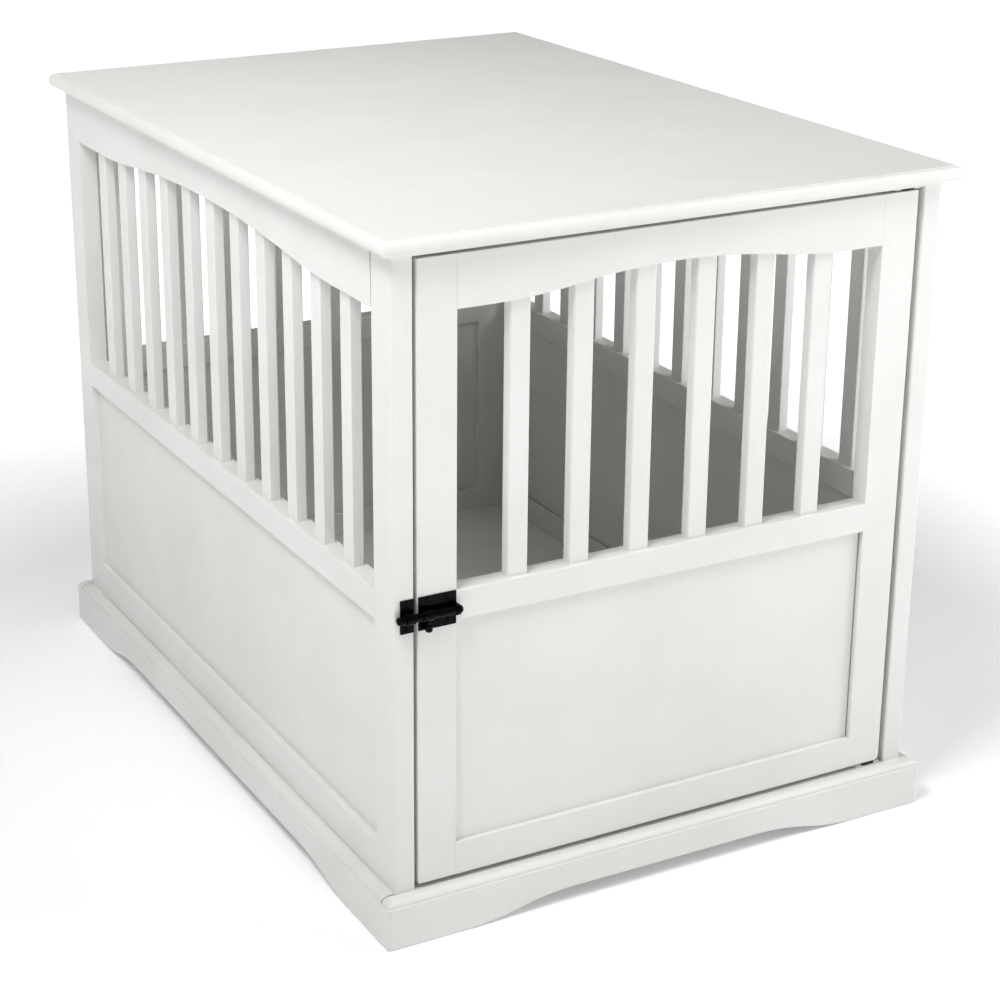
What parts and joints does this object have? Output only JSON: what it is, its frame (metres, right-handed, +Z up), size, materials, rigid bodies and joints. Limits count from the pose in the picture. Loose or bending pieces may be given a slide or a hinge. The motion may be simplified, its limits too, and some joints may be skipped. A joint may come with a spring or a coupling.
{
  "type": "dog crate end table",
  "caption": "White painted wooden pet crate that serves as an end table: slatted frames over solid panels, a slatted door with a barrel bolt, a moulded top and a plinth with shaped feet.",
  "frame": {"origin": "middle of the outline at floor level", "axes": "+Z up, the door faces -Y, +X to the right when looking at the door from the front"},
  "size_m": [0.625, 0.87, 0.686],
  "materials": {
    "wood_paint": "satin white paint on solid pine",
    "panel_paint": "satin white paint on fibreboard",
    "top_paint": "satin white paint on fibreboard with a moulded edge",
    "floor_board": "satin white paint on fibreboard",
    "black_steel": "black powder coat, semi-gloss",
    "nylon": "moulded black nylon",
    "beech": "bare beech"
  },
  "bodies": {
    "frame": {"back_bottom_rail": "wood_paint", "back_left_stile": "wood_paint", "back_mid_rail": "wood_paint", "back_panel": "panel_paint", "back_right_stile": "wood_paint", "back_slats": "wood_paint", "back_top_rail": "wood_paint", "base_back": "wood_paint", "base_front": "wood_paint", "base_left": "wood_paint", "base_right": "wood_paint", "bolt_keeper": "black_steel", "door_stop": "wood_paint", "floor_batten": "wood_paint", "floor_cleat_back": "wood_paint", "floor_cleat_front": "wood_paint", "floor_cleat_left": "wood_paint", "floor_cleat_right": "wood_paint", "floor_panel": "floor_board", "keeper_screws": "black_steel", "left_bottom_rail": "wood_paint", "left_front_stile": "wood_paint", "left_mid_rail": "wood_paint", "left_panel": "panel_paint", "left_rear_stile": "wood_paint", "left_slats": "wood_paint", "left_top_rail": "wood_paint", "loose_tenons": "beech", "lower_pivot": "black_steel", "pivot_washer": "nylon", "right_bottom_rail": "wood_paint", "right_front_stile": "wood_paint", "right_mid_rail": "wood_paint", "right_panel": "panel_paint", "right_rear_stile": "wood_paint", "right_slats": "wood_paint", "right_top_rail": "wood_paint", "top_cleat_back": "wood_paint", "top_cleat_left": "wood_paint", "top_cleat_right": "wood_paint", "top_panel": "top_paint", "upper_pivot": "black_steel"},
    "door": {"bolt_plate": "black_steel", "door_bottom_rail": "wood_paint", "door_left_stile": "wood_paint", "door_mid_rail": "wood_paint", "door_panel": "panel_paint", "door_right_stile": "wood_paint", "door_slats": "wood_paint", "door_top_rail": "wood_paint", "latch_screws": "black_steel", "pivot_bushes": "nylon"},
    "bolt": {"bolt_rod": "black_steel"},
    "knob": {"bolt_knob": "black_steel"}
  },
  "joints": [
    {"name": "door_swing", "type": "hinge", "parent": "frame", "child": "door", "pos_m": [0.258, -0.4095, 0.05], "axis": [0, 0, 1], "range_deg": [0, 110]},
    {"name": "bolt_slide", "type": "slide", "parent": "door", "child": "bolt", "axis": [1, 0, 0], "range_m": [0, 0.022]},
    {"name": "bolt_turn", "type": "hinge", "parent": "bolt", "child": "knob", "pos_m": [-0.2655, -0.4268, 0.3325], "axis": [-1, 0, 0], "range_deg": [0, 180]}
  ]
}
